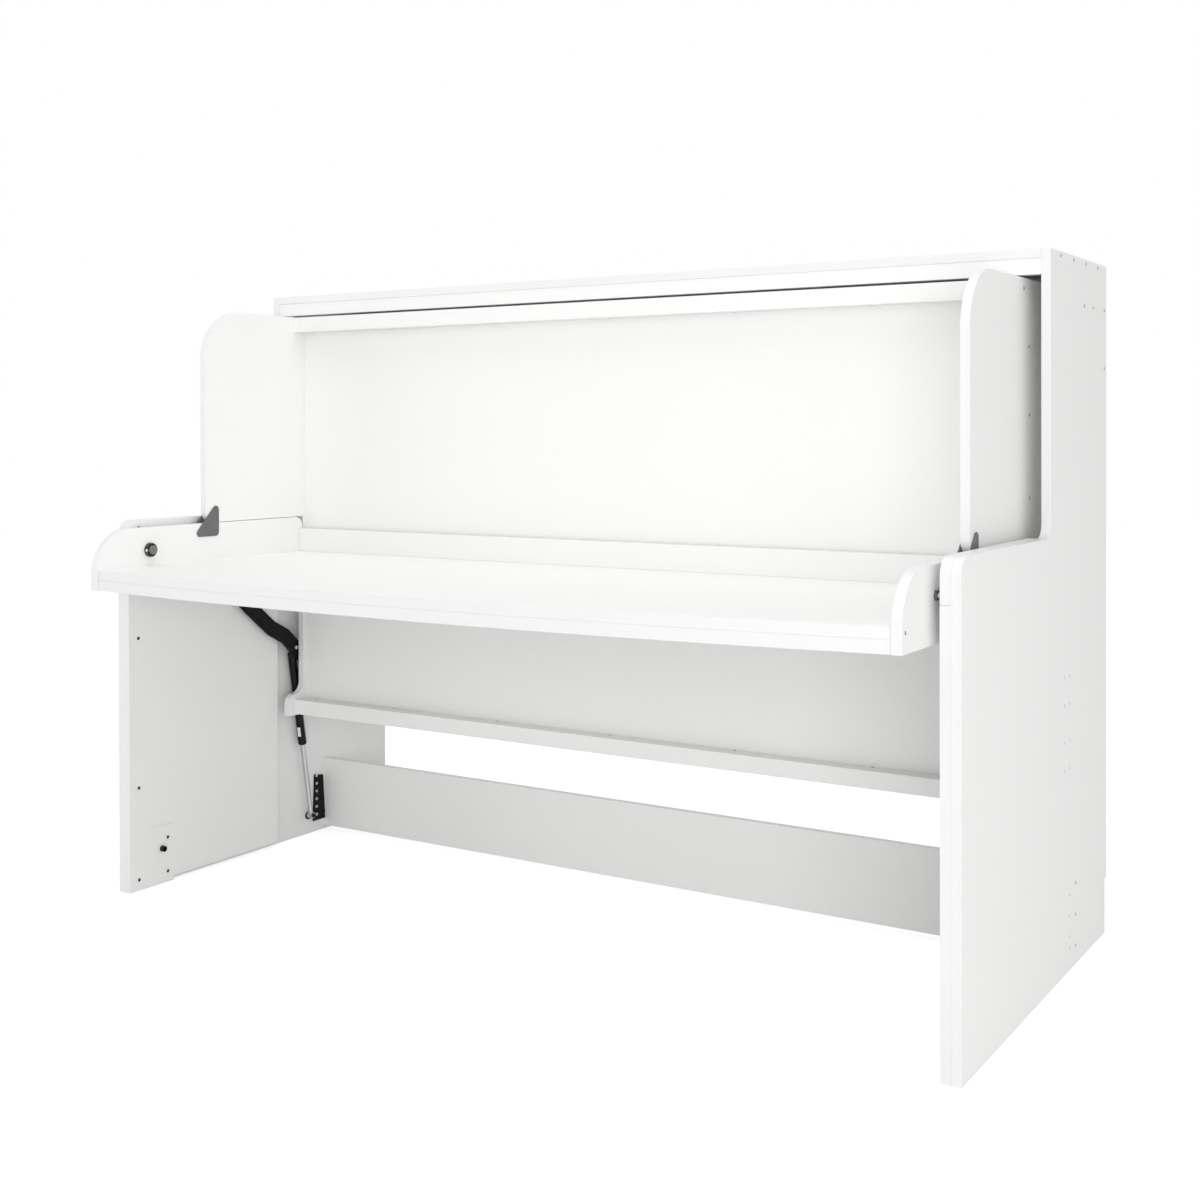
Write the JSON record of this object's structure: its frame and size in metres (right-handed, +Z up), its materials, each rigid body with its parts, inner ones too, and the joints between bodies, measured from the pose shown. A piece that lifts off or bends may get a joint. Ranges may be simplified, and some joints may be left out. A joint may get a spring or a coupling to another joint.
{
  "type": "wall bed with fold-down desk",
  "caption": "White horizontal wall bed; its desk stays level on levelling arms as the bed folds down over it, helped by gas springs",
  "frame": {"origin": "centre of the bounding box on the floor, bed folded up and desk in use", "axes": "+X along the desk to the sitter's left as seen from inside, right in the picture; the front faces -Y; +Z up; the wall is the plane y = +0.565"},
  "size_m": [2.05, 1.1298, 1.44],
  "materials": {
    "white_board": "white melamine-faced board, satin, with fine grain in the sheen",
    "black_steel": "black powder-coated steel",
    "black_plastic": "black moulded plastic",
    "bright_steel": "zinc-plated steel",
    "dark_screw_steel": "plated screw heads and nuts"
  },
  "bodies": {
    "cabinet": {"side_panel_left": "white_board", "side_panel_right": "white_board", "top_board": "white_board", "top_fascia": "white_board", "rear_top_rail": "white_board", "stiffening_shelf": "white_board", "low_back_rail": "white_board", "wing_liner_left": "white_board", "wing_liner_right": "white_board", "liner_block_left": "white_board", "liner_block_right": "white_board", "bed_pivot_plate_left": "black_steel", "bed_pivot_plate_right": "black_steel", "arm_pivot_plate_left": "black_steel", "arm_pivot_plate_right": "black_steel", "spring_bracket_left": "black_steel", "spring_bracket_right": "black_steel", "lock_bushes": "black_plastic", "carcass_screws": "dark_screw_steel", "plate_screws": "bright_steel", "liner_screws": "dark_screw_steel"},
    "bed": {"bed_panel": "white_board", "end_board_left": "white_board", "end_board_right": "white_board", "upper_bed_rail": "white_board", "lower_bed_rail": "white_board", "bed_rail_screws": "dark_screw_steel", "end_board_screws": "dark_screw_steel", "bed_pivot_bushes": "black_plastic", "desk_pivot_bushes": "black_plastic"},
    "desk": {"desk_board": "white_board", "desk_apron": "white_board", "desk_rear_rail": "white_board", "desk_battens": "white_board", "desk_upstand": "white_board", "desk_cheek_left": "white_board", "desk_cheek_right": "white_board", "hinge_plate_inner_left": "black_steel", "hinge_plate_outer_left": "black_steel", "hinge_plate_inner_right": "black_steel", "hinge_plate_outer_right": "black_steel", "desk_pivot_bolts": "black_steel", "hinge_plate_bolts": "black_steel", "cheek_screws": "dark_screw_steel", "arm_studs": "black_steel", "lock_sleeves": "black_plastic", "lock_nuts": "dark_screw_steel"},
    "arm_left": {"levelling_arm_left": "black_steel", "spring_bolt_left": "bright_steel"},
    "spring_rod_left": {"gas_rod_left": "bright_steel"},
    "spring_tube_left": {"gas_tube_left": "black_steel"},
    "lock_left": {"lock_pin_left": "bright_steel", "lock_knob_left": "black_plastic"},
    "arm_right": {"levelling_arm_right": "black_steel", "spring_bolt_right": "bright_steel"},
    "spring_rod_right": {"gas_rod_right": "bright_steel"},
    "spring_tube_right": {"gas_tube_right": "black_steel"},
    "lock_right": {"lock_pin_right": "bright_steel", "lock_knob_right": "black_plastic"}
  },
  "joints": [
    {"name": "bed_fold", "type": "hinge", "parent": "cabinet", "child": "bed", "pos_m": [0, 0.2565, 0.5655], "axis": [1, 0, 0], "range_deg": [0, 90]},
    {"name": "desk_level", "type": "hinge", "parent": "bed", "child": "desk", "pos_m": [0, -0.1395, 0.8945], "axis": [1, 0, 0], "range_deg": [-90, 0]},
    {"name": "arm_swing_left", "type": "hinge", "parent": "cabinet", "child": "arm_left", "pos_m": [-0.976, 0.2565, 0.4355], "axis": [1, 0, 0], "range_deg": [0, 90]},
    {"name": "spring_lean_left", "type": "hinge", "parent": "cabinet", "child": "spring_rod_left", "pos_m": [-0.991, 0.24, 0.053], "axis": [1, 0, 0], "range_deg": [0, 3.1]},
    {"name": "spring_stroke_left", "type": "slide", "parent": "spring_rod_left", "child": "spring_tube_left", "axis": [0, -0.1595, 0.9872], "range_m": [-0.171, 0]},
    {"name": "lock_slide_left", "type": "slide", "parent": "desk", "child": "lock_left", "axis": [-1, 0, 0], "range_m": [-0.004, 0.0065]},
    {"name": "arm_swing_right", "type": "hinge", "parent": "cabinet", "child": "arm_right", "pos_m": [0.976, 0.2565, 0.4355], "axis": [1, 0, 0], "range_deg": [0, 90]},
    {"name": "spring_lean_right", "type": "hinge", "parent": "cabinet", "child": "spring_rod_right", "pos_m": [0.991, 0.24, 0.053], "axis": [1, 0, 0], "range_deg": [0, 3.1]},
    {"name": "spring_stroke_right", "type": "slide", "parent": "spring_rod_right", "child": "spring_tube_right", "axis": [0, -0.1595, 0.9872], "range_m": [-0.171, 0]},
    {"name": "lock_slide_right", "type": "slide", "parent": "desk", "child": "lock_right", "axis": [1, 0, 0], "range_m": [-0.004, 0.0065]}
  ],
  "couplings": [
    {"joint": "desk_level", "follows": "bed_fold", "ratio": -1},
    {"joint": "arm_swing_left", "follows": "bed_fold", "ratio": 1},
    {"joint": "spring_lean_left", "follows": "bed_fold", "ratio": 0.03389},
    {"joint": "spring_stroke_left", "follows": "bed_fold", "m_per_rad": -0.10823},
    {"joint": "arm_swing_right", "follows": "bed_fold", "ratio": 1},
    {"joint": "spring_lean_right", "follows": "bed_fold", "ratio": 0.03389},
    {"joint": "spring_stroke_right", "follows": "bed_fold", "m_per_rad": -0.10823}
  ]
}
